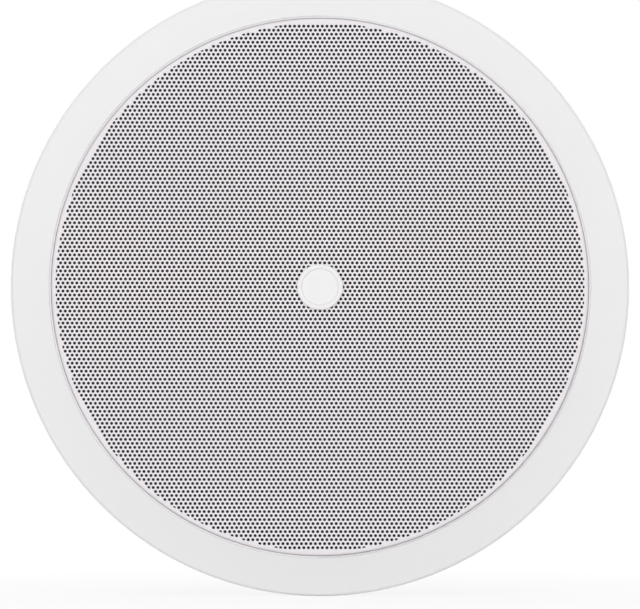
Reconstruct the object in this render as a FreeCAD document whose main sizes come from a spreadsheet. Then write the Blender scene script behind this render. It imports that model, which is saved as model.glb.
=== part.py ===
# Round flush-mount two-way loudspeaker: a white flange with a perforated grille in front,
# and behind it a 165 mm coaxial driver, its crossover and four swing-out clamps.
#
# Frame: the origin is on the speaker's axis in the wall plane, the back face of the flange.
# The grille faces -Y, the motor points to +Y into the wall, and +Z is up. Millimetres.

import FreeCAD
import Part
import Sketcher
import math
import operator
import os

# Driving dimensions: name, value and what it measures
SIZES = (
    ("cone_diameter", 130.4, "outer edge of the woofer cone"),
    ("cone_depth", 23.0, "front of the cone's lip to its neck"),
    ("cone_paper", 0.8, "thickness of the cone"),
    ("cone_neck", 1.2, "edge of the cone on the voice coil former"),
    ("cone_lip", 4.6, "width of the flat glue lip round the cone"),
    ("cone_flare", 80.0, "radius of the cone's flared section"),
    ("surround_sheet", 0.6, "thickness of the rubber surround"),
    ("surround_overlap", 3.6, "width of the surround glued to the cone's lip"),
    ("glue_line", 0.2, "gap filled by glue between the cone and what holds it"),
    ("former_diameter", 32.0, "inside of the voice coil former"),
    ("former_sheet", 0.3, "thickness of the former"),
    ("winding_height", 12.0, "length of the voice coil winding"),
    ("winding_thick", 0.8, "radial build of the winding"),
    ("coil_gap", 0.6, "air gap on each side of the voice coil"),
    ("basket_edge_gap", 6.6, "cone edge to the inside of the basket"),
    ("basket_sheet", 1.2, "thickness of the pressed steel basket"),
    ("basket_bend", 2.4, "outside radius of the bend round the basket's floor"),
    ("basket_wall_height", 10.2, "straight wall below the basket's rim"),
    ("basket_depth", 40.4, "front of the basket's rim to the back of its floor"),
    ("basket_floor_diameter", 78.4, "outside of the cup that carries the motor"),
    ("basket_floor_bore", 40.0, "hole in the basket's floor"),
    ("spider_ledge_width", 6.8, "flat ledge that the spider is glued to"),
    ("spider_ledge_height", 7.0, "ledge above the basket's floor"),
    ("spider_sheet", 0.5, "thickness of the corrugated spider"),
    ("window_margin", 2.2, "metal left above and below each basket window"),
    ("window_angle", 64.0, "width of a basket window, in degrees"),
    ("gasket_width", 3.2, "front gasket ring"),
    ("gasket_thick", 1.6, "front gasket ring"),
    ("driver_screw_diameter", 3.2, "shank of a woofer screw"),
    ("driver_screw_head", 6.4, "head of a woofer screw"),
    ("driver_screw_length", 10.0, "shank below the head"),
    ("screw_head_height", 2.2, "height of every pan head"),
    ("screw_play", 0.1, "radial play of a screw in its hole"),
    ("rim_margin", 0.8, "metal outside a woofer screw's head"),
    ("plate_diameter", 84.0, "motor's top plate and back plate"),
    ("top_plate_thick", 5.0, "motor's top plate"),
    ("magnet_diameter", 90.0, "ferrite ring"),
    ("magnet_bore", 44.0, "ferrite ring"),
    ("magnet_thick", 16.0, "ferrite ring"),
    ("back_plate_thick", 5.0, "motor's back plate"),
    ("edge_chamfer", 0.8, "chamfers on the motor's rings"),
    ("post_diameter", 14.0, "tweeter post in front of the pole"),
    ("post_spigot", 8.0, "post's threaded spigot through the pole"),
    ("nut_width", 13.0, "nut on the spigot, across its flats"),
    ("nut_thick", 5.0, "nut on the spigot"),
    ("tweeter_diameter", 38.0, "tweeter housing"),
    ("tweeter_depth", 13.0, "tweeter housing"),
    ("tweeter_recess", 3.6, "tweeter's face behind the flange's inner edge"),
    ("tweeter_edge_round", 1.6, "rounded edge and steps of the tweeter housing"),
    ("tweeter_lip", 0.8, "flat rim round the tweeter's waveguide"),
    ("dome_diameter", 25.0, "tweeter dome"),
    ("dome_height", 4.2, "tweeter dome"),
    ("dome_sheet", 0.4, "thickness of the dome"),
    ("frame_wall", 2.2, "walls of the moulded frame"),
    ("baffle_recess", 5.0, "front of the baffle behind the wall plane"),
    ("baffle_thick", 3.0, "baffle plate that the woofer is screwed to"),
    ("basket_play", 1.0, "basket wall to the hole in the baffle"),
    ("collar_depth", 10.0, "collar that fills the cut-out in the wall"),
    ("flange_overhang", 12.8, "flange outside the collar"),
    ("flange_front", 4.6, "flange's inner edge in front of the wall plane"),
    ("flange_rim", 2.0, "flange's thickness at its outer edge"),
    ("flange_crown", 90.0, "radius of the flange's crowned face"),
    ("flange_edge_round", 1.4, "rounding of the outer edge"),
    ("flange_lip_round", 0.8, "rounding of the inner edge"),
    ("rib_count", 24, "stiffening ribs behind the flange"),
    ("rib_thick", 1.6, "stiffening rib"),
    ("groove_width", 3.6, "groove that takes the grille's skirt"),
    ("grille_play", 0.2, "grille's skirt to the groove"),
    ("grille_proud", 0.6, "grille's face in front of the flange"),
    ("grille_sheet", 0.8, "thickness of the grille's steel sheet"),
    ("grille_skirt", 5.0, "depth of the grille's turned edge"),
    ("grille_bend", 1.2, "outside radius of the turned edge"),
    ("perforation_pitch", 10.0, "spacing of the open pattern in the sheet"),
    ("perforation_width", 6.4, "hexagonal opening, across its flats"),
    ("cloth_thick", 0.4, "acoustic cloth behind the sheet"),
    ("badge_diameter", 17.0, "bare centre boss on the grille"),
    ("badge_thick", 1.8, "bare centre boss"),
    ("badge_rim", 1.5, "raised border of the boss"),
    ("badge_dish", 0.5, "depth of the boss's face below its border"),
    ("badge_stud", 3.2, "stud through the sheet"),
    ("clamp_count", 4, "swing-out clamps"),
    ("clamp_screw_diameter", 4.0, "shank of a clamp screw"),
    ("clamp_screw_head", 7.8, "head of a clamp screw"),
    ("clamp_screw_tip", 2.0, "screw beyond the tower's cap"),
    ("clamp_head_play", 0.8, "head to the woofer's rim and to the frame"),
    ("thread_play", 0.05, "radial play of the dog on its screw"),
    ("drive_recess", 1.2, "width of the cross recess"),
    ("tower_length", 52.0, "clamp tower behind the baffle"),
    ("tower_wall", 2.2, "wall of a clamp tower"),
    ("tower_cap", 3.0, "cap that carries the screw's end"),
    ("gusset_reach", 5.0, "gusset at a tower's foot"),
    ("gusset_height", 20.0, "gusset at a tower's foot"),
    ("dog_hub_margin", 0.7, "hub wider than the arm, each side"),
    ("dog_hub_length", 12.0, "hub of a clamp dog"),
    ("dog_width", 11.0, "arm of a clamp dog"),
    ("dog_thick", 4.6, "arm of a clamp dog"),
    ("dog_reach", 24.0, "screw's axis to the arm's tip"),
    ("dog_play", 0.6, "dog to the tower"),
    ("dog_rib", 3.0, "rib behind the arm"),
    ("dog_groove", 1.2, "width of a grip groove across the arm, and of the land beside it"),
    ("dog_groove_depth", 0.7, "grip groove across the arm"),
    ("board_width", 76.0, "crossover board"),
    ("board_height", 28.0, "crossover board"),
    ("board_thick", 1.6, "crossover board"),
    ("board_corner", 2.0, "cut corners of the board"),
    ("board_shift", 4.0, "board's middle to the right of the axis"),
    ("board_drop", 78.0, "board's middle below the axis"),
    ("board_stand", 16.0, "bosses that carry the board"),
    ("board_boss", 6.8, "bosses that carry the board"),
    ("board_screw", 2.4, "shank of a board screw"),
    ("board_screw_head", 5.0, "head of a board screw"),
    ("board_screw_inset", 3.5, "screw to the board's end"),
    ("coil_diameter", 24.0, "crossover coil"),
    ("coil_height", 13.0, "crossover coil"),
    ("coil_core", 9.0, "core of the coil's bobbin"),
    ("bobbin_cheek", 1.4, "cheeks of the coil's bobbin"),
    ("large_capacitor", 11.6, "diameter of the large capacitor"),
    ("small_capacitor", 8.6, "diameter of the small capacitor"),
    ("capacitor_length", 20.0, "both capacitors"),
    ("resistor_side", 5.6, "cement resistor"),
    ("resistor_chamfer", 0.6, "cut corners of the resistor"),
    ("part_spacing", 1.0, "between neighbours on the board"),
    ("part_seat", 0.2, "gap below a part on the board"),
    ("terminal_width", 13.0, "terminal block"),
    ("terminal_depth", 16.0, "terminal block"),
    ("moulding_chamfer", 0.8, "cut corners of the terminal block and its tabs"),
    ("tab_width", 5.0, "push tab"),
    ("tab_height", 8.0, "push tab"),
    ("tab_travel", 3.0, "push tab"),
    ("tab_proud", 4.6, "tab in front of the block at rest"),
    ("tab_play", 0.3, "tab in its socket"),
    ("wire_bore", 3.2, "entry for a bare wire"),
    ("wire_depth", 10.0, "entry for a bare wire"),
    ("tag_width", 20.0, "woofer's terminal strip"),
    ("tag_height", 9.0, "woofer's terminal strip"),
    ("tag_thick", 1.6, "woofer's terminal strip"),
    ("lug_width", 4.6, "solder lug on the strip"),
    ("lug_sheet", 0.6, "solder lug on the strip"),
    ("lug_height", 7.0, "solder lug on the strip"),
)

FIRST_CLAMP_ANGLE = 45.0
WINDOW_COUNT = 4
SPOKE_ANGLE = 315.0
SPIDER_WAVES = 9
NUT_SIDES = 6
HOLE_SIDES = 6
GRIP_GROOVES = 3
# Gussets of a tower, in degrees from its outward direction
GUSSET_ANGLES = (180.0, 270.0)
# Radius of a bend as a share of the width it spans
ROLL_BEND = 0.54
SPIDER_BEND = 0.6
# Reach of a cross recess as a share of the head's radius
DRIVE_REACH = 0.55
# Degrees between a tower's wall and the arm it stops
TOWER_MARGIN = 10.0
# A capacitor's crimp: its radius as a share of the can's, its place and width in tenths of the can
CRIMP_SHARE = 0.9
CRIMP_START = 2
CRIMP_WIDTH = 1
OPERATORS = {
    "+": operator.add,
    "-": operator.sub,
    "*": operator.mul,
    "/": operator.truediv,
}
Y_AXIS = FreeCAD.Vector(0, 1, 0)
Z_AXIS = FreeCAD.Vector(0, 0, 1)


# Sizes that carry both a number and the spreadsheet expression behind it
class Size:
    def __init__(self, value, text):
        self.value = float(value)
        self.text = text

    def __add__(self, other):
        return combine(self, "+", other)

    def __radd__(self, other):
        return combine(other, "+", self)

    def __sub__(self, other):
        return combine(self, "-", other)

    def __rsub__(self, other):
        return combine(other, "-", self)

    def __mul__(self, other):
        return combine(self, "*", other)

    def __rmul__(self, other):
        return combine(other, "*", self)

    def __truediv__(self, other):
        return combine(self, "/", other)

    def __neg__(self):
        return combine(0, "-", self)


def as_size(thing):
    return thing if isinstance(thing, Size) else Size(thing, repr(float(thing)))


def combine(first, sign, second):
    a = as_size(first)
    b = as_size(second)
    return Size(OPERATORS[sign](a.value, b.value), f"({a.text} {sign} {b.text})")


def cosine(angle):
    a = as_size(angle)
    return Size(math.cos(math.radians(a.value)), f"cos({a.text} * 1 deg)")


def sine(angle):
    a = as_size(angle)
    return Size(math.sin(math.radians(a.value)), f"sin({a.text} * 1 deg)")


def polar(radius, angle, centre=(0, 0)):
    return centre[0] + radius * cosine(angle), centre[1] + radius * sine(angle)


# The document and its sheet of driving dimensions
doc = FreeCAD.newDocument("Loudspeaker")
sheet = doc.addObject("Spreadsheet::Sheet", "Dims")
for row, (name, value, note) in enumerate(SIZES, 1):
    sheet.set(f"A{row}", name)
    sheet.set(f"B{row}", str(value))
    sheet.set(f"C{row}", note)
    sheet.setAlias(f"B{row}", name)
doc.recompute()


class Dims:
    def __getattr__(self, name):
        return Size(getattr(sheet, name), f"Dims.{name}")


d = Dims()
nodes = []


# Sketches and features
def origin_feature(body, role):
    return next(f for f in body.Origin.OriginFeatures if f.Role == role)


def new_body(label):
    body = doc.addObject("PartDesign::Body", label)
    body.Label = label
    nodes.append(body)
    return body


def new_sketch(body, role, level=None):
    """A sketch on an origin plane; on the XZ plane, level is its place along +Y."""
    sketch = body.newObject("Sketcher::SketchObject", body.Label + "_sketch")
    sketch.AttachmentSupport = [(origin_feature(body, role), "")]
    sketch.MapMode = "FlatFace"
    if level is not None:
        sketch.AttachmentOffset = FreeCAD.Placement(
            FreeCAD.Vector(0, 0, -as_size(level).value), FreeCAD.Rotation()
        )
        sketch.setExpression("AttachmentOffset.Base.z", (-as_size(level)).text)
    return sketch


def bind(sketch, kind, place, size):
    size = as_size(size)
    index = sketch.addConstraint(Sketcher.Constraint(kind, *place, size.value))
    sketch.setExpression(f"Constraints[{index}]", size.text)


def left(radius):
    """The outline bends left from this corner to the next, in an arc of that radius."""
    return 1, as_size(radius)


def right(radius):
    return -1, as_size(radius)


def arc_between(start, stop, side, radius):
    chord = stop - start
    rise = math.sqrt(radius**2 - (chord.Length / 2) ** 2)
    across = FreeCAD.Vector(-chord.y, chord.x, 0).normalize()
    centre = (start + stop) * 0.5 + across * rise * side
    first, last = (start, stop) if side > 0 else (stop, start)
    angles = [math.atan2(p.y - centre.y, p.x - centre.x) for p in (first, last)]
    return Part.ArcOfCircle(Part.Circle(centre, Z_AXIS, radius), *angles)


def draw(sketch, corners):
    """A closed outline: each corner is (x, y), or (x, y, left(r) or right(r))."""
    points = [FreeCAD.Vector(as_size(c[0]).value, as_size(c[1]).value, 0) for c in corners]
    ends = []
    for i, corner in enumerate(corners):
        start = points[i]
        stop = points[(i + 1) % len(points)]
        if len(corner) == 2:
            edge = sketch.addGeometry(Part.LineSegment(start, stop), False)
            ends.append((edge, 1, 2))
        else:
            side, radius = corner[2]
            arc = arc_between(start, stop, side, radius.value)
            edge = sketch.addGeometry(arc, False)
            ends.append((edge, 1, 2) if side > 0 else (edge, 2, 1))
    for i, corner in enumerate(corners):
        edge, begin, _ = ends[i]
        before, _, finish = ends[i - 1]
        sketch.addConstraint(Sketcher.Constraint("Coincident", before, finish, edge, begin))
        bind(sketch, "DistanceX", (-1, 1, edge, begin), corner[0])
        bind(sketch, "DistanceY", (-1, 1, edge, begin), corner[1])
        if len(corner) == 3:
            bind(sketch, "Radius", (edge,), corner[2][1])


def draw_circle(sketch, centre, radius):
    x, y = as_size(centre[0]), as_size(centre[1])
    circle = Part.Circle(FreeCAD.Vector(x.value, y.value, 0), Z_AXIS, as_size(radius).value)
    edge = sketch.addGeometry(circle, False)
    bind(sketch, "Radius", (edge,), radius)
    bind(sketch, "DistanceX", (-1, 1, edge, 3), x)
    bind(sketch, "DistanceY", (-1, 1, edge, 3), y)


def rectangle(low_x, low_y, high_x, high_y):
    return [(low_x, low_y), (high_x, low_y), (high_x, high_y), (low_x, high_y)]


def cut_rectangle(low_x, low_y, high_x, high_y, cut):
    """A rectangle with its corners cut off at 45 degrees."""
    return [
        (low_x + cut, low_y),
        (high_x - cut, low_y),
        (high_x, low_y + cut),
        (high_x, high_y - cut),
        (high_x - cut, high_y),
        (low_x + cut, high_y),
        (low_x, high_y - cut),
        (low_x, low_y + cut),
    ]


def sector(centre, inner, outer, start, stop):
    """An annular sector between two angles in degrees, less than half a turn apart."""
    return [
        (*polar(outer, start, centre), left(outer)),
        polar(outer, stop, centre),
        (*polar(inner, stop, centre), right(inner)),
        polar(inner, start, centre),
    ]


def pad(body, sketch, length):
    """Grows an XZ sketch towards +Y."""
    feature = body.newObject("PartDesign::Pad", body.Label + "_pad")
    feature.Profile = sketch
    feature.Reversed = True
    feature.setExpression("Length", as_size(length).text)
    return feature


def pocket(body, sketch, depth):
    """Cuts an XZ sketch towards +Y."""
    feature = body.newObject("PartDesign::Pocket", body.Label + "_pocket")
    feature.Profile = sketch
    feature.setExpression("Length", as_size(depth).text)
    return feature


def bore_through(body, sketch):
    feature = body.newObject("PartDesign::Pocket", body.Label + "_bore")
    feature.Profile = sketch
    feature.Type = "ThroughAll"
    feature.Midplane = True
    return feature


def around(body, feature, count):
    """Repeats a feature round the body's Y axis."""
    pattern = body.newObject("PartDesign::PolarPattern", body.Label + "_pattern")
    pattern.Originals = [feature]
    pattern.Axis = (origin_feature(body, "Y_Axis"), [""])
    pattern.Angle = 360.0
    pattern.setExpression("Occurrences", as_size(count).text)
    body.Tip = pattern
    return pattern


def turned(label, corners):
    """A body turned round the Y axis from its half section of (radius, y) corners."""
    body = new_body(label)
    sketch = new_sketch(body, "XY_Plane")
    draw(sketch, corners)
    feature = body.newObject("PartDesign::Revolution", label + "_turn")
    feature.Profile = sketch
    feature.ReferenceAxis = (sketch, ["V_Axis"])
    feature.Angle = 360.0
    return body


def slab(label, level, thickness, corners):
    """A body padded towards +Y from an outline in the XZ plane."""
    body = new_body(label)
    sketch = new_sketch(body, "XZ_Plane", level)
    draw(sketch, corners)
    pad(body, sketch, thickness)
    return body


def pan_screw(label, seat, head, shank, length):
    """A screw along +Y with a domed head in front of its seat and a cross recess in the head."""
    face = seat - d.screw_head_height
    tip = seat + length
    body = turned(label, [
        (0, face),
        (head - shank / 2, face, left(shank)),
        (head, seat - d.screw_head_height / 2),
        (head, seat),
        (shank, seat),
        (shank, tip - shank / 2),
        (shank / 2, tip),
        (0, tip),
    ])
    drive = new_sketch(body, "XZ_Plane", face)
    draw(drive, cross(head * DRIVE_REACH, d.drive_recess / 2))
    pocket(body, drive, d.screw_head_height / 2)
    return body


def cross(reach, half_slot):
    """The outline of a cross recess."""
    corners = []
    for along_x, along_y in ((1, 0), (0, 1), (-1, 0), (0, -1)):
        side_x, side_y = -along_y, along_x
        corners += [
            (reach * along_x - half_slot * side_x, reach * along_y - half_slot * side_y),
            (reach * along_x + half_slot * side_x, reach * along_y + half_slot * side_y),
            (half_slot * (along_x + side_x), half_slot * (along_y + side_y)),
        ]
    return corners


def group_of(label, blank, level, places, rotation=None):
    """Copies of a blank at places in the XZ plane, as one group of separate solids."""
    nodes.remove(blank)
    doc.recompute()
    copies = []
    for x, z in places:
        copy = blank.Shape.copy()
        spot = FreeCAD.Vector(as_size(x).value, as_size(level).value, as_size(z).value)
        copy.Placement = FreeCAD.Placement(spot, rotation or FreeCAD.Rotation())
        copies.append(copy)
    group = doc.addObject("Part::Feature", label)
    group.Shape = Part.makeCompound(copies)
    nodes.append(group)


def place(body, x=0, y=0, z=0, rotation=None):
    body.Placement = FreeCAD.Placement(FreeCAD.Vector(), rotation or FreeCAD.Rotation())
    for axis, size in zip("xyz", (x, y, z)):
        body.setExpression(f"Placement.Base.{axis}", as_size(size).text)


# Radii, from the cone outwards
cone_radius = d.cone_diameter / 2
former_in = d.former_diameter / 2
former_out = former_in + d.former_sheet
winding_out = former_out + d.winding_thick
basket_in = cone_radius + d.basket_edge_gap
basket_out = basket_in + d.basket_sheet
baffle_hole = basket_out + d.basket_play
roll_in = cone_radius + d.surround_sheet
roll_out = basket_out + d.surround_sheet
gasket_out = roll_out + d.gasket_width
driver_head = d.driver_screw_head / 2
driver_circle = gasket_out + d.clamp_head_play + driver_head
rim_radius = driver_circle + driver_head + d.rim_margin
clamp_head = d.clamp_screw_head / 2
clamp_circle = rim_radius + d.clamp_head_play + clamp_head
throat_radius = clamp_circle + clamp_head + d.clamp_head_play
groove_in = throat_radius + d.frame_wall
groove_out = groove_in + d.groove_width
grille_radius = groove_out - d.grille_play
collar_out = groove_out + d.frame_wall
collar_in = collar_out - d.frame_wall
flange_radius = collar_out + d.flange_overhang
floor_radius = d.basket_floor_diameter / 2
ledge_out = floor_radius + d.spider_ledge_width
pole_radius = former_in - d.coil_gap
plate_bore = winding_out + d.coil_gap
hub_radius = d.dog_width / 2 + d.dog_hub_margin
tower_in = hub_radius + d.dog_play
tower_out = tower_in + d.tower_wall

# Levels along Y, from the grille backwards
grille_face = -(d.flange_front + d.grille_proud)
grille_back = grille_face + d.grille_sheet
cloth_back = grille_back + d.cloth_thick
rib_face = cloth_back + d.grille_play
skirt_end = grille_face + d.grille_skirt
groove_floor = skirt_end + d.grille_play
web_back = groove_floor + d.frame_wall
baffle_back = d.baffle_recess + d.baffle_thick
rim_face = d.baffle_recess - d.basket_sheet
surround_face = rim_face - d.surround_sheet
lip_face = rim_face + d.glue_line
neck_level = lip_face + d.cone_depth
floor_back = rim_face + d.basket_depth
floor_front = floor_back - d.basket_sheet
ledge_back = floor_back - d.spider_ledge_height
ledge_front = ledge_back - d.basket_sheet
magnet_front = floor_back + d.top_plate_thick
magnet_back = magnet_front + d.magnet_thick
motor_back = magnet_back + d.back_plate_thick
gap_middle = floor_back + d.top_plate_thick / 2
tower_end = baffle_back + d.tower_length
dog_back = tower_end - d.tower_cap - d.dog_play
dog_front = dog_back - d.dog_hub_length
board_front = baffle_back + d.board_stand
board_back = board_front + d.board_thick
tweeter_face = d.tweeter_recess - d.flange_front
tweeter_back = tweeter_face + d.tweeter_depth


# The moulded frame: flange, grille groove, collar, baffle, ribs, clamp towers and bosses
def make_frame():
    edge = d.flange_edge_round
    lip = d.flange_lip_round
    body = turned("mounting_frame", [
        (flange_radius, 0),
        (flange_radius, edge - d.flange_rim, right(edge)),
        (flange_radius - edge, -d.flange_rim, left(d.flange_crown)),
        (groove_out + lip, -d.flange_front, left(lip)),
        (groove_out, lip - d.flange_front),
        (groove_out, groove_floor),
        (groove_in, groove_floor),
        (groove_in, rib_face),
        (throat_radius, rib_face),
        (throat_radius, d.baffle_recess),
        (baffle_hole, d.baffle_recess),
        (baffle_hole, baffle_back),
        (groove_in, baffle_back),
        (groove_in, web_back),
        (collar_in, web_back),
        (collar_in, d.collar_depth),
        (collar_out, d.collar_depth),
        (collar_out, 0),
    ])
    ribs = new_sketch(body, "XZ_Plane", web_back)
    bite = d.frame_wall / 2
    half_rib = d.rib_thick / 2
    draw(ribs, rectangle(groove_in - bite, -half_rib, collar_in + bite, half_rib))
    around(body, pad(body, ribs, baffle_back - web_back), d.rib_count)
    make_towers(body)
    bosses = new_sketch(body, "XZ_Plane", baffle_back)
    draw_circle(bosses, polar(driver_circle, 0), driver_head)
    around(body, pad(body, bosses, d.driver_screw_length - d.baffle_thick), WINDOW_COUNT)
    holes = new_sketch(body, "XZ_Plane")
    draw_circle(holes, polar(driver_circle, 0), d.driver_screw_diameter / 2 + d.screw_play)
    around(body, bore_through(body, holes), WINDOW_COUNT)
    make_board_bosses(body)


def make_towers(body):
    """Each tower guards its dog's hub, stops its arm at both ends of the swing and holds the screw."""
    centre = polar(clamp_circle, FIRST_CLAMP_ANGLE)
    arm_side = math.degrees(math.asin(d.dog_width.value / 2 / hub_radius.value))
    first = FIRST_CLAMP_ANGLE + 90.0 + arm_side + TOWER_MARGIN
    last = FIRST_CLAMP_ANGLE + 360.0 - arm_side - TOWER_MARGIN
    wall = new_sketch(body, "XZ_Plane", baffle_back)
    draw(wall, sector(centre, tower_in, tower_out, first, last))
    around(body, pad(body, wall, d.tower_length), d.clamp_count)
    for angle in GUSSET_ANGLES:
        gusset = make_gusset(body, centre, FIRST_CLAMP_ANGLE + angle)
        around(body, gusset, d.clamp_count)
    cap = new_sketch(body, "XZ_Plane", tower_end - d.tower_cap)
    draw_circle(cap, centre, tower_out)
    around(body, pad(body, cap, d.tower_cap), d.clamp_count)
    bores = new_sketch(body, "XZ_Plane")
    draw_circle(bores, centre, d.clamp_screw_diameter / 2 + d.screw_play)
    around(body, bore_through(body, bores), d.clamp_count)


def make_gusset(body, centre, angle):
    """A fin at a tower's foot that points away from the tower's axis."""
    fin = new_sketch(body, "XY_Plane")
    fin.AttachmentOffset = FreeCAD.Placement(FreeCAD.Vector(), FreeCAD.Rotation(Y_AXIS, -angle))
    for axis, size in zip("xz", centre):
        fin.setExpression(f"AttachmentOffset.Base.{axis}", size.text)
    root = tower_out - d.tower_wall / 2
    foot = baffle_back - d.baffle_thick / 2
    tip = tower_out + d.gusset_reach
    draw(fin, [(root, foot), (tip, foot), (tip, baffle_back), (root, baffle_back + d.gusset_height)])
    feature = body.newObject("PartDesign::Pad", body.Label + "_gusset")
    feature.Profile = fin
    feature.Midplane = True
    feature.setExpression("Length", d.rib_thick.text)
    return feature


def board_screw_places():
    reach = d.board_width / 2 - d.board_screw_inset
    return [(d.board_shift - reach, -d.board_drop), (d.board_shift + reach, -d.board_drop)]


def make_board_bosses(body):
    stands = new_sketch(body, "XZ_Plane", baffle_back)
    pilots = new_sketch(body, "XZ_Plane", baffle_back)
    for centre in board_screw_places():
        draw_circle(stands, centre, d.board_boss / 2)
        draw_circle(pilots, centre, d.board_screw / 2 + d.screw_play)
    pad(body, stands, d.board_stand)
    body.Tip = pocket(body, pilots, d.board_stand)


# The grille: a pressed steel sheet with a turned skirt, its open pattern, cloth and boss
def make_grille():
    bend = d.grille_bend
    inside = bend - d.grille_sheet
    skirt = turned("grille_skirt", [
        (grille_radius - bend, grille_back),
        (grille_radius - bend, grille_face, left(bend)),
        (grille_radius, grille_face + bend),
        (grille_radius, skirt_end),
        (grille_radius - d.grille_sheet, skirt_end),
        (grille_radius - d.grille_sheet, grille_face + bend, right(inside)),
    ])
    nodes.remove(skirt)
    thickness = d.grille_sheet.value
    stud_hole = Part.makeCylinder(
        (d.badge_stud / 2 + d.screw_play).value, thickness, Y_AXIS * grille_face.value, Y_AXIS
    )
    rows = []
    for outline, openings in perforated_rows():
        strip = doc.addObject("Part::Feature", "grille_row")
        strip.Shape = Part.Face([outline] + openings).extrude(Y_AXIS * thickness).cut(stud_hole)
        rows.append(strip)
    grille = doc.addObject("Part::MultiFuse", "grille")
    grille.Shapes = [skirt] + rows
    grille.Refine = False
    nodes.append(grille)


def perforated_rows():
    """The flat face as strips of the disc, each with one row of a triangular lattice of openings."""
    edge = (grille_radius - d.grille_bend).value
    pitch = d.perforation_pitch.value
    corner = d.perforation_width.value / math.sqrt(3)
    least = d.badge_diameter.value / 2
    most = edge - corner
    row_step = pitch * math.sqrt(3) / 2
    last = int(edge / row_step)
    columns = int(edge / pitch) + 1
    for row in range(-last, last + 1):
        z = row * row_step
        low = -edge if row == -last else z - row_step / 2
        high = edge if row == last else z + row_step / 2
        places = [pitch * (i + row % 2 / 2) for i in range(-columns, columns + 1)]
        openings = [hexagon(x, z, corner) for x in places if least < math.hypot(x, z) < most]
        yield strip_outline(edge, low, high), openings


def strip_outline(edge, low, high):
    """The part of a disc between two levels, drawn the other way round than its openings."""
    def rim(z, side):
        return FreeCAD.Vector(side * math.sqrt(max(edge**2 - z**2, 0)), grille_face.value, z)

    middle = (low + high) / 2
    edges = [Part.Arc(rim(low, -1), rim(middle, -1), rim(high, -1)).toShape()]
    if high < edge:
        edges.append(Part.makeLine(rim(high, -1), rim(high, 1)))
    edges.append(Part.Arc(rim(high, 1), rim(middle, 1), rim(low, 1)).toShape())
    if low > -edge:
        edges.append(Part.makeLine(rim(low, 1), rim(low, -1)))
    return Part.Wire(edges)


def hexagon(x, z, corner):
    angles = [2 * math.pi * (k + 0.5) / HOLE_SIDES for k in range(HOLE_SIDES + 1)]
    return Part.makePolygon([
        FreeCAD.Vector(x + corner * math.cos(a), grille_face.value, z + corner * math.sin(a))
        for a in angles
    ])


def make_cloth_and_badge():
    edge = grille_radius - d.grille_bend
    stud = d.badge_stud / 2
    turned("grille_cloth", rectangle(stud + d.screw_play, grille_back, edge, cloth_back))
    face = grille_face - d.badge_thick
    radius = d.badge_diameter / 2
    dish = radius - d.badge_rim
    round_edge = d.badge_dish
    turned("centre_badge", [
        (0, face + d.badge_dish),
        (dish - round_edge, face + d.badge_dish),
        (dish, face),
        (radius - round_edge, face, left(round_edge)),
        (radius, face + round_edge),
        (radius, grille_face),
        (stud, grille_face),
        (stud, cloth_back),
        (0, cloth_back),
    ])


# The woofer's fixed pieces
def make_basket():
    wall_end = rim_face + d.basket_wall_height
    sheet_in = d.basket_sheet
    bend = d.basket_bend
    body = turned("woofer_basket", [
        (rim_radius, rim_face),
        (rim_radius, d.baffle_recess),
        (basket_out, d.baffle_recess),
        (basket_out, wall_end),
        (ledge_out, ledge_back),
        (floor_radius, ledge_back),
        (floor_radius, floor_back - bend, left(bend)),
        (floor_radius - bend, floor_back),
        (d.basket_floor_bore / 2, floor_back),
        (d.basket_floor_bore / 2, floor_front),
        (floor_radius - bend, floor_front, right(bend - sheet_in)),
        (floor_radius - sheet_in, floor_back - bend),
        (floor_radius - sheet_in, ledge_front),
        (ledge_out - sheet_in / 2, ledge_front),
        (basket_in, wall_end - sheet_in / 2),
        (basket_in, rim_face),
    ])
    windows = new_sketch(body, "XZ_Plane")
    half = d.window_angle / 2
    inner = ledge_out + d.window_margin
    outer = basket_in - d.window_margin
    draw(windows, sector((0, 0), inner, outer, -half, half))
    around(body, bore_through(body, windows), WINDOW_COUNT)
    holes = new_sketch(body, "XZ_Plane")
    draw_circle(holes, polar(driver_circle, 0), d.driver_screw_diameter / 2 + d.screw_play)
    around(body, bore_through(body, holes), WINDOW_COUNT)


def make_gasket():
    turned("basket_gasket", rectangle(
        roll_out, surround_face - d.gasket_thick, gasket_out, surround_face
    ))


def make_surround():
    """Half roll between the glued flats on the cone's lip and on the basket's rim."""
    roll = (roll_out - roll_in) * ROLL_BEND
    inner_edge = cone_radius - d.surround_overlap
    turned("surround", [
        (inner_edge, surround_face),
        (roll_in, surround_face, left(roll)),
        (roll_out, surround_face),
        (gasket_out, surround_face),
        (gasket_out, rim_face),
        (roll_out - d.surround_sheet, rim_face, right(roll - d.surround_sheet)),
        (roll_in + d.surround_sheet, rim_face),
        (inner_edge, rim_face),
    ])


def make_spider():
    """Concentric corrugations from the voice coil former out to the basket's ledge."""
    inner = former_out + d.glue_line
    outer = ledge_out - d.basket_sheet
    first = inner + d.spider_ledge_width / 2
    last = floor_radius
    step = (last - first) / SPIDER_WAVES
    bend = step * SPIDER_BEND
    front = ledge_front - d.spider_sheet
    face = [(inner, front)]
    back = [(inner, ledge_front), (first, ledge_front)]
    for wave in range(SPIDER_WAVES):
        outward, inward = (left, right) if wave % 2 == 0 else (right, left)
        face.append((first + step * wave, front, outward(bend)))
        back.append((first + step * (wave + 1), ledge_front, inward(bend)))
    face += [(last, front), (outer, front)]
    back.append((outer, ledge_front))
    turned("spider", face + back[::-1])


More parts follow.
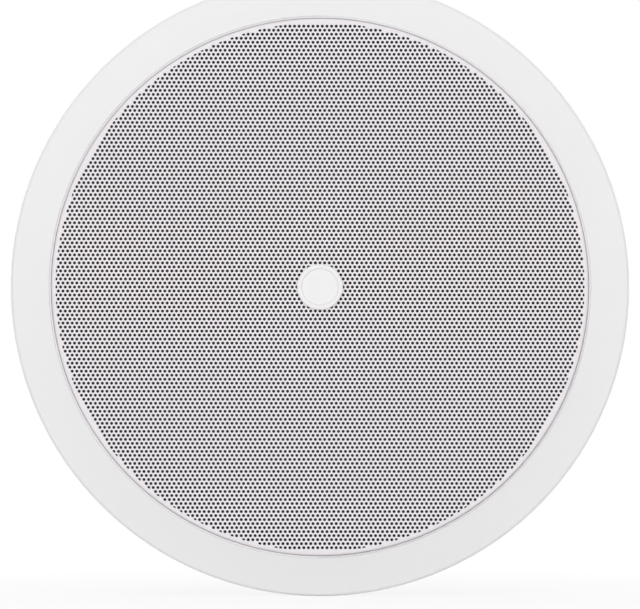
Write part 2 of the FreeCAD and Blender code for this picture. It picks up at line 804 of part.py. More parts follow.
def make_motor():
    cut = d.edge_chamfer
    plate = d.plate_diameter / 2
    magnet = d.magnet_diameter / 2
    spigot_bore = d.post_spigot / 2 + d.screw_play
    turned("top_plate", [
        (plate_bore, floor_back),
        (plate - cut, floor_back),
        (plate, floor_back + cut),
        (plate, magnet_front),
        (plate_bore, magnet_front),
    ])
    turned("magnet_ring", [
        (d.magnet_bore / 2, magnet_front),
        (magnet - cut, magnet_front),
        (magnet, magnet_front + cut),
        (magnet, magnet_back - cut),
        (magnet - cut, magnet_back),
        (d.magnet_bore / 2, magnet_back),
    ])
    turned("back_plate", [
        (spigot_bore, floor_back),
        (pole_radius - cut, floor_back),
        (pole_radius, floor_back + cut),
        (pole_radius, magnet_back),
        (plate, magnet_back),
        (plate, motor_back - cut),
        (plate - cut, motor_back),
        (spigot_bore, motor_back),
    ])


def make_woofer_screws():
    """Screws through the basket's rim, in one group."""
    blank = pan_screw(
        "woofer_screw_blank", rim_face, driver_head, d.driver_screw_diameter / 2, d.driver_screw_length
    )
    places = [polar(driver_circle, 360.0 / WINDOW_COUNT * k) for k in range(WINDOW_COUNT)]
    group_of("woofer_screws", blank, 0, places)


# The woofer's moving pieces
def make_cone():
    lip_in = cone_radius - d.cone_lip
    lip_back = lip_face + d.cone_paper
    turned("cone", [
        (former_out, neck_level, left(d.cone_flare)),
        (lip_in, lip_face),
        (cone_radius, lip_face),
        (cone_radius, lip_back),
        (lip_in, lip_back, right(d.cone_flare - d.cone_paper)),
        (former_out, neck_level + d.cone_neck),
    ])


def make_voice_coil():
    coil_front = gap_middle - d.winding_height / 2
    coil_back = gap_middle + d.winding_height / 2
    turned("coil_former", rectangle(
        former_in, neck_level - d.cone_paper, former_out, coil_back + d.cone_paper
    ))
    turned("voice_coil", rectangle(former_out, coil_front, winding_out, coil_back))


# The tweeter, carried on a post through the motor's pole
def make_tweeter():
    post = d.post_diameter / 2
    spigot = d.post_spigot / 2
    spigot_end = motor_back + d.nut_thick
    turned("tweeter_post", [
        (0, tweeter_back),
        (post, tweeter_back),
        (post, floor_back),
        (spigot, floor_back),
        (spigot, spigot_end),
        (0, spigot_end),
    ])
    nut = d.nut_width / math.sqrt(3)
    corners = [polar(nut, 360.0 / NUT_SIDES * k) for k in range(NUT_SIDES)]
    body = slab("post_nut", motor_back, d.nut_thick, corners)
    thread = new_sketch(body, "XZ_Plane")
    draw_circle(thread, (0, 0), spigot)
    bore_through(body, thread)
    radius = d.tweeter_diameter / 2
    dome = d.dome_diameter / 2
    seat = tweeter_face + d.dome_height
    round_edge = d.tweeter_edge_round
    rim = radius - round_edge
    turned("tweeter_housing", [
        (0, seat),
        (dome + d.dome_sheet, seat),
        (rim - d.tweeter_lip, tweeter_face),
        (rim, tweeter_face, left(round_edge)),
        (radius, tweeter_face + round_edge),
        (radius, seat + round_edge),
        (rim, seat + round_edge * 2),
        (rim, tweeter_back - round_edge),
        (rim - round_edge, tweeter_back),
        (0, tweeter_back),
    ])
    cap = (dome * dome + d.dome_height * d.dome_height) / (d.dome_height * 2)
    turned("tweeter_dome", [
        (0, tweeter_face, left(cap)),
        (dome, seat),
        (0, seat),
    ])


# The crossover board with its parts and the push terminals
def make_board():
    middle = d.board_shift
    half = d.board_width / 2
    low = -d.board_drop - d.board_height / 2
    high = d.board_height / 2 - d.board_drop
    body = slab(
        "crossover_board", board_front, d.board_thick,
        cut_rectangle(middle - half, low, middle + half, high, d.board_corner),
    )
    holes = new_sketch(body, "XZ_Plane", board_front)
    for centre in board_screw_places():
        draw_circle(holes, centre, d.board_screw / 2 + d.screw_play)
    bore_through(body, holes)
    blank = pan_screw(
        "board_screw_blank", 0, d.board_screw_head / 2, d.board_screw / 2, d.board_stand / 2
    )
    turn = FreeCAD.Rotation(Z_AXIS, 180)
    group_of("board_screws", blank, board_back, board_screw_places(), turn)


coil_left = d.board_shift - d.board_width / 2 + d.board_screw_inset * 2 + d.part_spacing / 2
coil_x = coil_left + d.coil_diameter / 2
parts_left = coil_left + d.coil_diameter + d.part_spacing * 2
terminal_left = parts_left + d.capacitor_length + d.part_spacing


def make_crossover_coil():
    cheek = d.bobbin_cheek
    core = d.coil_core / 2
    cheek_radius = d.coil_diameter / 2
    wire_radius = cheek_radius - cheek / 2
    top = board_back + d.coil_height
    bobbin = turned("coil_bobbin", [
        (0, board_back),
        (cheek_radius, board_back),
        (cheek_radius, board_back + cheek),
        (core, board_back + cheek),
        (core, top - cheek),
        (cheek_radius, top - cheek),
        (cheek_radius, top),
        (0, top),
    ])
    winding = turned("coil_winding", rectangle(
        core, board_back + cheek, wire_radius, top - cheek
    ))
    for body in (bobbin, winding):
        place(body, coil_x, 0, -d.board_drop)


def make_capacitor(label, diameter, z):
    """A can lying along X, with the crimped groove near one end."""
    radius = diameter / 2
    length = d.capacitor_length
    step = diameter / 10
    crimp = step * CRIMP_START
    crimp_end = crimp + step * CRIMP_WIDTH
    body = turned(label, [
        (0, 0),
        (radius - step / 2, 0),
        (radius, step / 2),
        (radius, crimp),
        (radius * CRIMP_SHARE, (crimp + crimp_end) / 2),
        (radius, crimp_end),
        (radius, length - step / 2),
        (radius - step / 2, length),
        (0, length),
    ])
    seat = board_back + d.part_seat + radius
    place(body, parts_left, seat, z, FreeCAD.Rotation(Z_AXIS, -90))


def make_small_parts():
    large = d.large_capacitor
    small = d.small_capacitor
    high = d.board_height / 2 - d.board_drop - d.part_spacing / 2
    large_z = high - large / 2
    small_z = large_z - large / 2 - d.part_spacing / 2 - small / 2
    resistor_top = small_z - small / 2 - d.part_spacing / 2
    make_capacitor("large_capacitor", large, large_z)
    make_capacitor("small_capacitor", small, small_z)
    side = d.resistor_side
    slab("cement_resistor", board_back, side, cut_rectangle(
        parts_left, resistor_top - side, parts_left + d.capacitor_length, resistor_top,
        d.resistor_chamfer,
    ))


def terminal_rows():
    return {"red": d.board_height / 4 - d.board_drop, "black": -d.board_drop - d.board_height / 4}


def make_terminals():
    half = d.board_height / 2 - d.part_spacing
    body = slab("terminal_block", board_back, d.terminal_depth, cut_rectangle(
        terminal_left, -d.board_drop - half, terminal_left + d.terminal_width, half - d.board_drop,
        d.moulding_chamfer,
    ))
    face = board_back + d.terminal_depth
    tab_x = terminal_left + d.terminal_width / 4 + d.part_spacing / 2
    wire_x = terminal_left + d.terminal_width - d.wire_bore
    socket_depth = d.wire_depth + d.tab_travel
    sockets = new_sketch(body, "XZ_Plane", face - socket_depth)
    wires = new_sketch(body, "XZ_Plane", face - d.wire_depth)
    for colour, z in terminal_rows().items():
        wide = d.tab_width / 2 + d.tab_play
        tall = d.tab_height / 2 + d.tab_play
        draw(sockets, rectangle(tab_x - wide, z - tall, tab_x + wide, z + tall))
        draw_circle(wires, (wire_x, z), d.wire_bore / 2)
        tab_front = face - socket_depth + d.tab_travel + d.tab_play
        tab_length = face + d.tab_proud - tab_front
        slab(f"{colour}_tab", tab_front, tab_length, cut_rectangle(
            tab_x - d.tab_width / 2, z - d.tab_height / 2,
            tab_x + d.tab_width / 2, z + d.tab_height / 2, d.moulding_chamfer,
        ))
    pocket(body, sockets, socket_depth)
    body.Tip = pocket(body, wires, d.wire_depth)


# The woofer's terminal strip on a spoke of the basket
def make_tag_strip():
    strip = doc.addObject("Part::Box", "tag_strip")
    strip.setExpression("Length", d.tag_width.text)
    strip.setExpression("Width", d.tag_height.text)
    strip.setExpression("Height", d.tag_thick.text)
    seat_on_spoke(strip, -d.tag_width / 2)
    nodes.append(strip)
    lugs = []
    for side in (-1, 1):
        x = (d.tag_width / 4 * side - d.lug_width / 2).value
        lug = Part.makeBox(d.lug_width.value, d.lug_sheet.value, d.lug_height.value)
        lug.translate(FreeCAD.Vector(x, d.tag_height.value / 4, d.tag_thick.value))
        lugs.append(lug)
    group = doc.addObject("Part::Feature", "tag_lugs")
    group.Shape = Part.makeCompound(lugs)
    seat_on_spoke(group, 0)
    nodes.append(group)


def seat_on_spoke(item, x):
    """Lays an item's XY plane on the outside of a spoke, with its X along the rim."""
    wall_end = rim_face + d.basket_wall_height
    run = basket_out - ledge_out
    fall = ledge_back - wall_end
    lean = math.degrees(math.atan2(run.value, fall.value))
    turn = FreeCAD.Rotation(Y_AXIS, 90.0 - SPOKE_ANGLE)
    rotation = turn.multiply(FreeCAD.Rotation(FreeCAD.Vector(1, 0, 0), -lean))
    middle = FreeCAD.Vector(0, (wall_end + fall / 2).value, (ledge_out + run / 2).value)
    corner = FreeCAD.Vector(as_size(x).value, -d.tag_height.value / 2, d.part_seat.value)
    item.Placement = FreeCAD.Placement(
        turn.multVec(middle) + rotation.multVec(corner), rotation
    )


# The swing-out clamps
def make_clamp(number, angle):
    x, z = polar(clamp_circle, angle)
    turn = FreeCAD.Rotation(Y_AXIS, -angle)
    length = tower_end + d.clamp_screw_tip - d.baffle_recess
    screw = pan_screw(
        f"clamp_screw_{number}", d.baffle_recess, clamp_head, d.clamp_screw_diameter / 2, length
    )
    place(screw, x, 0, z, turn)
    dog = make_dog(f"clamp_dog_{number}")
    place(dog, x, 0, z, turn)


def make_dog(label):
    """A moulded dog, folded along +Z: hub, arm with a rounded tip, back rib and screw hole."""
    body = new_body(label)
    hub = new_sketch(body, "XZ_Plane", dog_front)
    draw_circle(hub, (0, 0), hub_radius)
    pad(body, hub, d.dog_hub_length)
    arm = new_sketch(body, "XZ_Plane", dog_front)
    half = d.dog_width / 2
    tip_round = half / 2
    draw(arm, [
        (-half, 0),
        (half, 0),
        (half, d.dog_reach - tip_round, left(tip_round)),
        (half - tip_round, d.dog_reach),
        (tip_round - half, d.dog_reach, left(tip_round)),
        (-half, d.dog_reach - tip_round),
    ])
    pad(body, arm, d.dog_thick)
    rib = new_sketch(body, "YZ_Plane")
    arm_back = dog_front + d.dog_thick
    bite = d.dog_thick / 2
    draw(rib, [
        (arm_back - bite, hub_radius / 2),
        (arm_back - bite, d.dog_reach - tip_round),
        (arm_back, d.dog_reach - tip_round),
        (dog_back - bite, hub_radius),
        (dog_back - bite, hub_radius / 2),
    ])
    back = body.newObject("PartDesign::Pad", label + "_rib")
    back.Profile = rib
    back.Midplane = True
    back.setExpression("Length", d.dog_rib.text)
    grip = new_sketch(body, "XZ_Plane", dog_front)
    for groove in range(GRIP_GROOVES):
        start = d.dog_reach - tip_round - d.dog_groove * 2 * groove
        draw(grip, rectangle(-d.dog_width, start - d.dog_groove, d.dog_width, start))
    pocket(body, grip, d.dog_groove_depth)
    bore = new_sketch(body, "XZ_Plane")
    draw_circle(bore, (0, 0), d.clamp_screw_diameter / 2 + d.thread_play)
    bore_through(body, bore)
    return body


def build():
    make_frame()
    make_grille()
    make_cloth_and_badge()
    make_basket()
    make_gasket()
    make_surround()
    make_spider()
    make_motor()
    make_woofer_screws()
    make_cone()
    make_voice_coil()
    make_tweeter()
    make_board()
    make_crossover_coil()
    make_small_parts()
    make_terminals()
    make_tag_strip()
    count = int(d.clamp_count.value)
    for k in range(count):
        make_clamp(k + 1, FIRST_CLAMP_ANGLE + 360.0 / count * k)
    doc.recompute()


def export():
    failed = [o.Label for o in doc.Objects if {"Invalid", "Error"} & set(o.State)]
    failed += [n.Label for n in nodes if n.Shape.isNull() or not n.Shape.isValid()]
    if failed:
        raise RuntimeError(f"these objects failed: {failed}")
    os.makedirs("parts", exist_ok=True)
    for node in nodes:
        node.Shape.exportStep(f"parts/{node.Label}.step")


build()
export()
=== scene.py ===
"""Looks of a round flush-mount loudspeaker: white flange, fine perforated grille, bare centre boss,
and behind them the driver, its crossover and four swing-out clamps.

Metres, in the frame of the solids: the grille faces -Y, the motor points to +Y, +Z is up."""

import math

import bmesh
import bpy
from mathutils import Matrix, Vector
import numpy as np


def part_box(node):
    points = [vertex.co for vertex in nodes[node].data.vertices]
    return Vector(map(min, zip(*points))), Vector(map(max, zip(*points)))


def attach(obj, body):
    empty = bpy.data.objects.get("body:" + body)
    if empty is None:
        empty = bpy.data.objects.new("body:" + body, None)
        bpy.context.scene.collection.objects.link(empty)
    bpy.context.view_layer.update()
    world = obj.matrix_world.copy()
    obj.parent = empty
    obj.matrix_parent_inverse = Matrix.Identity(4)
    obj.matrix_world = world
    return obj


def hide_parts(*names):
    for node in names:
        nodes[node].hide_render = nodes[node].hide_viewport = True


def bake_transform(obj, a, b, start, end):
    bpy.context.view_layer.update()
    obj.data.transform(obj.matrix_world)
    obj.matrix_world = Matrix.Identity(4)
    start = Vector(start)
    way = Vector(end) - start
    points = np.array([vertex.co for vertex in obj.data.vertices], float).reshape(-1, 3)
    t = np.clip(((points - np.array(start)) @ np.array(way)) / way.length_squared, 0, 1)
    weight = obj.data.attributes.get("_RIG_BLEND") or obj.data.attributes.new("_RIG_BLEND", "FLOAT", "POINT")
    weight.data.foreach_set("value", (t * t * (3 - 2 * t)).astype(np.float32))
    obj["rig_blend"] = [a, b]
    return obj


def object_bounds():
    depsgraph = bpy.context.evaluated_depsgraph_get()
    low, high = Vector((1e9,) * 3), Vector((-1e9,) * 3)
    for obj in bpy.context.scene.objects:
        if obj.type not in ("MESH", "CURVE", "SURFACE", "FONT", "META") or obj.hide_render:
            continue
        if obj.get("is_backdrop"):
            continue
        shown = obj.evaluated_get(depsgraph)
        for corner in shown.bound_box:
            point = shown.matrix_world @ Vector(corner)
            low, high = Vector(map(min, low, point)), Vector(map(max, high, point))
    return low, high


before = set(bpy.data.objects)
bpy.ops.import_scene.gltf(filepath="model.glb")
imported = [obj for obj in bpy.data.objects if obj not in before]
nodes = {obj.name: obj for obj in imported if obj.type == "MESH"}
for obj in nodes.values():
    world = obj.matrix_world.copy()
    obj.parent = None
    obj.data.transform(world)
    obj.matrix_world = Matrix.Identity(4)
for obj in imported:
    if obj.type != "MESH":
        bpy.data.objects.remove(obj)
cad_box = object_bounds()

MM = 0.001
QUARTER_TURN = math.pi / 2
FRAME_BODY = "speaker_frame"
CONE_BODY = "cone_assembly"
CLAMPS = (1, 2, 3, 4)

# Camera: the picture's size and the flange's width and middle row in it, in pixels
PICTURE_WIDTH = 640
PICTURE_HEIGHT = 609
FLANGE_PIXELS = 618
FLANGE_ROW = 287
CAMERA_DISTANCE = 2.4
CAMERA_REACH = 50.0

# Meshes: the distance within which points are one, and the degrees past which an edge is sharp
WELD = 1e-6
CREASE = 35.0
THREAD_CREASE = 30.0
WIRE_CREASE = 50.0

# Grille sheet
SHEET_THICK = 0.8 * MM
SHEET_BEND = 1.2 * MM
SHEET_SIDES = 288
OUTER_BEND_STEPS = 8
INNER_BEND_STEPS = 6
STUD_RADIUS = 1.7 * MM
STUD_SIDES = 24
CLOTH_SIDES = 128
HALVES = {"perforated_upper_half": 1.0, "perforated_lower_half": -1.0}

# Its holes: their size, and the size that the lattice gives by itself, are shares of the pitch
HOLE_PITCH = 1.72 * MM
HOLE_SHARE = 0.63
LATTICE_SHARE = 0.625
PLAIN_RIM = 0.35 * MM
# Plain ring round the stud, in the stud's radii
STUD_RING = 1.6
# Holes begin at this share of a pitch inside the boss's edge
BOSS_COVER = 0.35
# Rows and columns of lattice past the edge, and the pitches that are kept of them
SPARE_ROWS = 3
SPARE_PITCHES = 1.5
# The halves part at this share of a row, between two rows of holes
SPLIT_ROW = -0.25

# Clamp screws
SCREW_HEAD = 2.2 * MM
THREAD_CORE = 1.55 * MM
THREAD_CREST = 2.0 * MM
THREAD_PITCH = 1.4 * MM
THREAD_SIDES = 18
THREAD_ROWS = 6

# Crossover: the coil, its bobbin and the leads. The coil's hollow heart, the bobbin's sunk ring and
# the capacitors' stripe are shares of their radius
COIL_WIRE = 0.85 * MM
COIL_HEART = 0.5
COIL_SIDES = 48
WIRE_SIDES = 8
BOBBIN_CHEEK = 1.4 * MM
BOBBIN_CORE = 4.5 * MM
BOBBIN_BORE = 2.8 * MM
BOBBIN_ROUND = 0.5 * MM
BOBBIN_SUNK = (0.5, 0.82)
LEAD_RADIUS = 0.3 * MM
LEAD_BEND = 0.4 * MM
LEAD_STEPS = 4
LEAD_ROUNDING = 2
LEADED_PARTS = ("large_capacitor", "small_capacitor", "cement_resistor")
STRIPE_DEPTH = 0.10
STRIPE_BLUR = 0.02

# Surround and spider: the radii between which they flex, and their section's angle in radians
SURROUND_FLEX = (65.8 * MM, 73.6 * MM)
SPIDER_FLEX = (19.9 * MM, 39.2 * MM)
SECTION_ANGLE = 0.6
RING_SIDES = 120

# Studio: ambient light, against 1 for the white that the camera sees, and the floor's half width,
# the distances between which it turns whiter to the camera, and its white there
AMBIENT = 0.45
FLOOR_REACH = 4.0
FLOOR_FADE = (0.10, 0.30)
FLOOR_WHITE = (0.85, 1.0)

# Softboxes: place, width and watts
SOFTBOXES = {
    "key": ((-0.8, -2.4, 0.7), 1.8, 20.8),
    "fill": ((1.0, -2.3, 0.2), 1.8, 18.4),
    "overhead": ((0.1, 0.4, 2.1), 1.6, 8.0),
    "back_left": ((-1.5, 1.8, 0.9), 1.4, 10.0),
    "back_right": ((1.7, 1.6, 0.7), 1.4, 8.0),
}


# A Mix node's sockets for colours
MIX_FACTOR, MIX_FIRST, MIX_SECOND, MIX_RESULT = 0, 6, 7, 2


# Node trees: sockets that take arithmetic, and one way to add a node
class Link:
    """A node's output. Arithmetic on it adds Math nodes to its tree."""

    def __init__(self, tree, socket):
        self.tree = tree
        self.socket = socket

    def __add__(self, other):
        return self.tree.math("ADD", self, other)

    def __radd__(self, other):
        return self.tree.math("ADD", other, self)

    def __sub__(self, other):
        return self.tree.math("SUBTRACT", self, other)

    def __rsub__(self, other):
        return self.tree.math("SUBTRACT", other, self)

    def __mul__(self, other):
        return self.tree.math("MULTIPLY", self, other)

    def __rmul__(self, other):
        return self.tree.math("MULTIPLY", other, self)

    def __truediv__(self, other):
        return self.tree.math("DIVIDE", self, other)

    def __rtruediv__(self, other):
        return self.tree.math("DIVIDE", other, self)

    def __gt__(self, other):
        return self.tree.math("GREATER_THAN", self, other)

    def __lt__(self, other):
        return self.tree.math("LESS_THAN", self, other)


class Tree:
    """A node tree that is filled by calls to node()."""

    def __init__(self, tree):
        self.tree = tree

    def node(self, kind, settings=None, inputs=None, out=0):
        """Adds a node: its settings come first, then the values or links of its sockets."""
        node = self.tree.nodes.new(kind)
        for name, value in (settings or {}).items():
            setattr(node, name, value)
        for key, value in (inputs or {}).items():
            self.plug(node.inputs[key], value)
        return Link(self, node.outputs[out])

    def plug(self, socket, value):
        if isinstance(value, Link):
            self.tree.links.new(value.socket, socket)
        elif isinstance(value, (list, tuple)) and isinstance(value[0], Link):
            for link in value:
                self.tree.links.new(link.socket, socket)
        else:
            socket.default_value = value

    def math(self, operation, *values):
        return self.node("ShaderNodeMath", {"operation": operation}, dict(enumerate(values)))

    def part(self, vector, axis):
        return self.node("ShaderNodeSeparateXYZ", None, {0: vector}, out=axis)

    def length(self, vector):
        return self.node("ShaderNodeVectorMath", {"operation": "LENGTH"}, {0: vector}, out="Value")

    def seen(self):
        """1 for what the camera sees, itself or in a reflection, and 0 for other light."""
        looks = self.node("ShaderNodeLightPath", out="Is Camera Ray")
        return looks + self.node("ShaderNodeLightPath", out="Is Glossy Ray")


# Finishes
class Finish(Tree):
    """A material on the Principled shader, with the patterns that its recipes share."""

    def __init__(self, name, **constants):
        self.material = bpy.data.materials.new(name)
        self.material.use_nodes = True
        super().__init__(self.material.node_tree)
        self.shader = self.tree.nodes["Principled BSDF"]
        for socket, value in constants.items():
            self.shader.inputs[socket.replace("_", " ")].default_value = value
        self.place = self.node("ShaderNodeTexCoord", out="Object")

    def feed(self, socket, value):
        self.plug(self.shader.inputs[socket], value)

    def noise(self, scale, detail=2.0, roughness=0.5, stretch=None):
        place = self.place
        if stretch:
            place = self.node("ShaderNodeMapping", None, {"Vector": place, "Scale": stretch})
        return self.node("ShaderNodeTexNoise", None, {
            "Vector": place, "Scale": scale, "Detail": detail, "Roughness": roughness,
        })

    def cells(self, scale):
        settings = {"feature": "F1"}
        return self.node("ShaderNodeTexVoronoi", settings, {"Vector": self.place, "Scale": scale})

    def bands(self, scale, axis, distortion=0.0):
        settings = {"wave_type": "BANDS", "bands_direction": axis, "wave_profile": "SIN"}
        inputs = {"Vector": self.place, "Scale": scale, "Distortion": distortion}
        return self.node("ShaderNodeTexWave", settings, inputs)

    def rings(self, scale, distortion):
        """Rings round the Y axis."""
        settings = {"wave_type": "RINGS", "rings_direction": "Y", "wave_profile": "SIN"}
        inputs = {"Vector": self.place, "Scale": scale, "Distortion": distortion}
        return self.node("ShaderNodeTexWave", settings, inputs)

    def weave(self, scale):
        """Two crossed sets of threads, raised where each passes over the other."""
        across = self.bands(scale, "X")
        along = self.bands(scale, "Z")
        return across * (1.0 - along) + along * (1.0 - across)

    def blend(self, first, second, factor):
        inputs = {MIX_FACTOR: factor, MIX_FIRST: paint(first), MIX_SECOND: paint(second)}
        return self.node("ShaderNodeMix", {"data_type": "RGBA"}, inputs, out=MIX_RESULT)

    def span(self, value, low, high):
        """Stretches a value of 0 to 1 to a range."""
        return value * (high - low) + low

    def step(self, value, low, high):
        inputs = {"Value": value, "From Min": low, "From Max": high}
        return self.node("ShaderNodeMapRange", {"interpolation_type": "SMOOTHSTEP"}, inputs)

    def bump(self, height, distance, strength):
        inputs = {"Height": height, "Distance": distance, "Strength": strength}
        self.feed("Normal", self.node("ShaderNodeBump", None, inputs))


def paint(colour):
    """A link as it is, or red, green and blue with full alpha."""
    return colour if isinstance(colour, Link) else (*colour, 1.0)


def white_moulding():
    """Smooth white ABS with a fine spark texture and a trace of mottling."""
    f = Finish("white_moulding", Coat_Roughness=0.35)
    mottle = f.noise(28.0, 4.0)
    grain = f.noise(2600.0, 3.0)
    f.feed("Base Color", f.blend((0.835, 0.828, 0.835), (0.860, 0.855, 0.860), mottle))
    f.feed("Roughness", f.span(grain, 0.40, 0.52))
    f.bump(grain, 0.02 * MM, 0.5)
    return f.material


def powder_coat():
    """Matt white powder coat on the grille's sheet, with its orange peel."""
    f = Finish("powder_coat")
    peel = f.noise(1500.0, 2.0)
    mottle = f.noise(16.0, 3.0)
    f.feed("Base Color", f.blend((0.835, 0.800, 0.828), (0.855, 0.820, 0.848), mottle))
    f.feed("Roughness", f.span(peel, 0.48, 0.62))
    f.bump(peel, 0.03 * MM, 0.5)
    return f.material


def boss_white():
    """Satin white boss, bare, with faint turned rings."""
    f = Finish("boss_white", Coat_Weight=0.25, Coat_Roughness=0.2)
    rings = f.rings(900.0, 0.4)
    mottle = f.noise(60.0, 3.0)
    f.feed("Base Color", f.blend((0.835, 0.830, 0.835), (0.865, 0.860, 0.865), mottle))
    f.feed("Roughness", f.span(rings, 0.30, 0.40))
    f.bump(rings, 0.006 * MM, 0.4)
    return f.material


def acoustic_cloth():
    f = Finish("acoustic_cloth", Sheen_Weight=0.1)
    threads = f.weave(420.0)
    # Painted shade as well as scrim colour: the near-black cloth keeps every hole evenly dark, standing in
    # for the shade inside the speaker behind the grille.
    f.feed("Base Color", f.blend((0.006, 0.006, 0.007), (0.026, 0.025, 0.027), threads))
    f.feed("Roughness", f.span(threads, 0.80, 0.95))
    f.bump(threads, 0.12 * MM, 0.6)
    return f.material


def black_steel():
    """Black satin dip paint on pressed steel, thinner and greyer in places."""
    f = Finish("black_steel", Coat_Weight=0.15, Coat_Roughness=0.3)
    peel = f.noise(900.0, 2.0)
    thin = f.step(f.noise(45.0, 5.0), 0.55, 0.80)
    f.feed("Base Color", f.blend((0.014, 0.014, 0.015), (0.034, 0.034, 0.036), thin))
    f.feed("Roughness", f.span(peel, 0.34, 0.48))
    f.bump(peel, 0.03 * MM, 0.5)
    return f.material


def foam():
    f = Finish("gasket_foam")
    pores = f.cells(1600.0)
    f.feed("Base Color", f.blend((0.012, 0.012, 0.012), (0.045, 0.045, 0.045), pores))
    f.feed("Roughness", f.span(pores, 0.85, 0.98))
    f.bump(pores, 0.2 * MM, 0.8)
    return f.material


def zinc_plate():
    """Zinc plated steel: a fine grey spangle with a trace of straw and blue."""
    f = Finish("zinc_plate", Metallic=1.0)
    spangle = f.noise(900.0, 4.0, 0.65)
    tint = f.noise(260.0, 3.0)
    grey = f.blend((0.34, 0.35, 0.37), (0.50, 0.50, 0.50), spangle)
    f.feed("Base Color", f.blend(grey, (0.44, 0.43, 0.40), f.step(tint, 0.50, 0.80)))
    f.feed("Roughness", f.span(spangle, 0.28, 0.50))
    f.bump(spangle, 0.015 * MM, 0.5)
    return f.material


def straw_zinc():
    """Zinc plate with a yellow film, greyer where the film is worn."""
    f = Finish("straw_zinc", Metallic=1.0)
    film = f.noise(420.0, 4.0, 0.6)
    straw = f.blend((0.42, 0.33, 0.18), (0.54, 0.45, 0.27), film)
    worn = f.step(f.noise(700.0, 2.0), 0.55, 0.75)
    f.feed("Base Color", f.blend(straw, (0.40, 0.38, 0.31), worn))
    f.feed("Roughness", f.span(film, 0.24, 0.42))
    f.bump(film, 0.012 * MM, 0.5)
    return f.material


def rubber():
    f = Finish("surround_rubber")
    bloom = f.step(f.noise(60.0, 4.0), 0.5, 0.85)
    rings = f.rings(700.0, 0.2)
    f.feed("Base Color", f.blend((0.010, 0.010, 0.011), (0.026, 0.026, 0.028), bloom))
    f.feed("Roughness", f.span(bloom, 0.50, 0.70))
    f.bump(rings, 0.02 * MM, 0.5)
    return f.material


def resin_cloth():
    """Cotton stiffened with amber resin."""
    f = Finish("resin_cloth")
    threads = f.weave(520.0)
    soak = f.noise(90.0, 3.0)
    soaked = f.blend((0.40, 0.19, 0.045), (0.58, 0.33, 0.10), soak)
    f.feed("Base Color", f.blend((0.22, 0.10, 0.025), soaked, f.step(threads, 0.1, 0.7)))
    f.feed("Roughness", f.span(threads, 0.50, 0.72))
    f.bump(threads, 0.10 * MM, 0.7)
    return f.material


def ferrite():
    """Sintered ferrite: dark grey, ground flat, with fine pits."""
    f = Finish("ferrite")
    pits = f.step(f.cells(900.0), 0.05, 0.30)
    grind = f.noise(260.0, 5.0, 0.65, stretch=(1.0, 0.15, 1.0))
    f.feed("Base Color", f.blend((0.030, 0.030, 0.032), (0.085, 0.085, 0.090), grind))
    f.feed("Roughness", f.span(grind, 0.45, 0.70))
    f.bump(pits + grind * 0.4, 0.05 * MM, 0.6)
    return f.material


def cone_skin():
    """Dark moulded polypropylene with fine concentric ribs and mica flecks."""
    f = Finish("cone_skin", Coat_Weight=0.1, Coat_Roughness=0.4)
    ribs = f.rings(260.0, 0.1)
    flecks = f.step(f.cells(1400.0), 0.18, 0.05)
    f.feed("Base Color", f.blend((0.020, 0.020, 0.022), (0.075, 0.075, 0.080), flecks))
    f.feed("Roughness", f.span(ribs, 0.38, 0.55))
    f.bump(ribs, 0.06 * MM, 0.6)
    return f.material


def foil():
    f = Finish("former_foil", Metallic=1.0)
    rolled = f.noise(350.0, 3.0, 0.6, stretch=(1.0, 0.08, 1.0))
    f.feed("Base Color", f.blend((0.66, 0.66, 0.67), (0.82, 0.82, 0.82), rolled))
    f.feed("Roughness", f.span(rolled, 0.25, 0.45))
    return f.material


def copper_wire():
    """Enamelled copper, wound in close turns along Y."""
    f = Finish("copper_wire", Metallic=0.9, Coat_Weight=0.6, Coat_Roughness=0.15)
    turns = f.bands(980.0, "Y", 0.3)
    shade = f.noise(160.0, 3.0)
    wire = f.blend((0.58, 0.19, 0.06), (0.78, 0.33, 0.13), shade)
    f.feed("Base Color", f.blend((0.20, 0.05, 0.015), wire, f.step(turns, 0.05, 0.45)))
    f.feed("Roughness", f.span(shade, 0.25, 0.40))
    f.bump(turns, 0.10 * MM, 0.6)
    return f.material


def black_moulding():
    f = Finish("black_moulding")
    spark = f.noise(1900.0, 3.0)
    dust = f.step(f.noise(35.0, 5.0), 0.52, 0.80)
    f.feed("Base Color", f.blend((0.014, 0.014, 0.014), (0.030, 0.030, 0.031), dust))
    f.feed("Roughness", f.span(spark, 0.42, 0.60))
    f.bump(spark, 0.05 * MM, 0.6)
    return f.material


def red_moulding():
    f = Finish("red_moulding", Coat_Weight=0.1)
    spark = f.noise(1700.0, 3.0)
    cloud = f.noise(120.0, 3.0)
    f.feed("Base Color", f.blend((0.46, 0.014, 0.012), (0.60, 0.028, 0.022), cloud))
    f.feed("Roughness", f.span(spark, 0.35, 0.50))
    f.bump(spark, 0.04 * MM, 0.5)
    return f.material


def pale_nylon():
    f = Finish("pale_nylon", Subsurface_Weight=0.1)
    cloud = f.noise(140.0, 4.0)
    f.feed("Base Color", f.blend((0.66, 0.62, 0.52), (0.76, 0.73, 0.64), cloud))
    f.feed("Roughness", f.span(cloud, 0.38, 0.55))
    f.bump(f.noise(1500.0), 0.02 * MM, 0.4)
    return f.material


def silk():
    """Coated silk of the tweeter's dome."""
    f = Finish("dome_silk", Coat_Weight=0.35, Coat_Roughness=0.35, Sheen_Weight=0.15)
    threads = f.weave(900.0)
    f.feed("Base Color", f.blend((0.016, 0.016, 0.018), (0.045, 0.045, 0.050), threads))
    f.feed("Roughness", f.span(threads, 0.45, 0.65))
    f.bump(threads, 0.04 * MM, 0.6)
    return f.material


